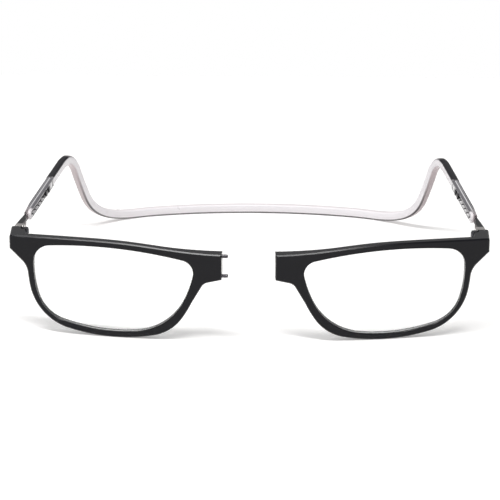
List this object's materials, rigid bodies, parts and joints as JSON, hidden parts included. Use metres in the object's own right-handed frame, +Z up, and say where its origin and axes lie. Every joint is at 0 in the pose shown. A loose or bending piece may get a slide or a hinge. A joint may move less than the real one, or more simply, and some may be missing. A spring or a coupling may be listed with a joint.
{
  "type": "magnetic bridge reading glasses",
  "caption": "Front-closing reading glasses: magnetic bridge, folding temple hinges and slotted temples that slide along a springy headband running behind the neck.",
  "frame": {"origin": "centre of the footprint on the surface the glasses stand on, under the rims and the headband", "axes": "+X towards the half that carries the sockets, on the right in the picture; +Y from the front back to the headband; +Z up"},
  "size_m": [0.157, 0.152, 0.0325],
  "materials": {
    "frame_black": "satin black moulded plastic",
    "lens_clear": "clear and polished",
    "magnet_nickel": "nickel plated",
    "hinge_steel": "plain steel",
    "pin_steel": "polished steel",
    "temple_metal": "bright cap, blackened wedge, finely lined strip",
    "arm_clear": "clear plastic",
    "peg_black": "black",
    "band_clear": "frosted clear plastic"
  },
  "bodies": {
    "back": {"headband_back": "band_clear"},
    "side_left": {"headband_left": "band_clear"},
    "arm_left": {"temple_arm_left": "arm_clear", "temple_core_left": "temple_metal", "slide_pegs_left": "peg_black"},
    "half_left": {"front_left": "frame_black", "lens_left": "lens_clear", "bridge_magnet_left": "magnet_nickel", "hinge_leaf_left": "hinge_steel", "hinge_screw_left": "hinge_steel", "bridge_pin_lower": "pin_steel", "bridge_pin_upper": "pin_steel"},
    "side_right": {"headband_right": "band_clear"},
    "arm_right": {"temple_arm_right": "arm_clear", "temple_core_right": "temple_metal", "slide_pegs_right": "peg_black"},
    "half_right": {"front_right": "frame_black", "lens_right": "lens_clear", "bridge_magnet_right": "magnet_nickel", "hinge_leaf_right": "hinge_steel", "hinge_screw_right": "hinge_steel"}
  },
  "joints": [
    {"name": "left_flex", "type": "hinge", "parent": "back", "child": "side_left", "pos_m": [-0.03806, 0.06939, 0.00171], "axis": [0, 0, 1], "range_deg": [-12, 3.45], "stiffness_Nm_per_rad": 0.35},
    {"name": "left_slide", "type": "slide", "parent": "side_left", "child": "arm_left", "axis": [-0.0715, -0.9974, 0], "range_m": [0, 0.026]},
    {"name": "left_hinge", "type": "hinge", "parent": "arm_left", "child": "half_left", "pos_m": [-0.07366, -0.05676, 0.03011], "axis": [0, 0, 1], "range_deg": [0, 90]},
    {"name": "right_flex", "type": "hinge", "parent": "back", "child": "side_right", "pos_m": [0.03806, 0.06939, 0.00171], "axis": [0, 0, -1], "range_deg": [-12, 3.45], "stiffness_Nm_per_rad": 0.35},
    {"name": "right_slide", "type": "slide", "parent": "side_right", "child": "arm_right", "axis": [0.0715, -0.9974, 0], "range_m": [0, 0.026]},
    {"name": "right_hinge", "type": "hinge", "parent": "arm_right", "child": "half_right", "pos_m": [0.07366, -0.05676, 0.03011], "axis": [0, 0, -1], "range_deg": [0, 90]}
  ]
}
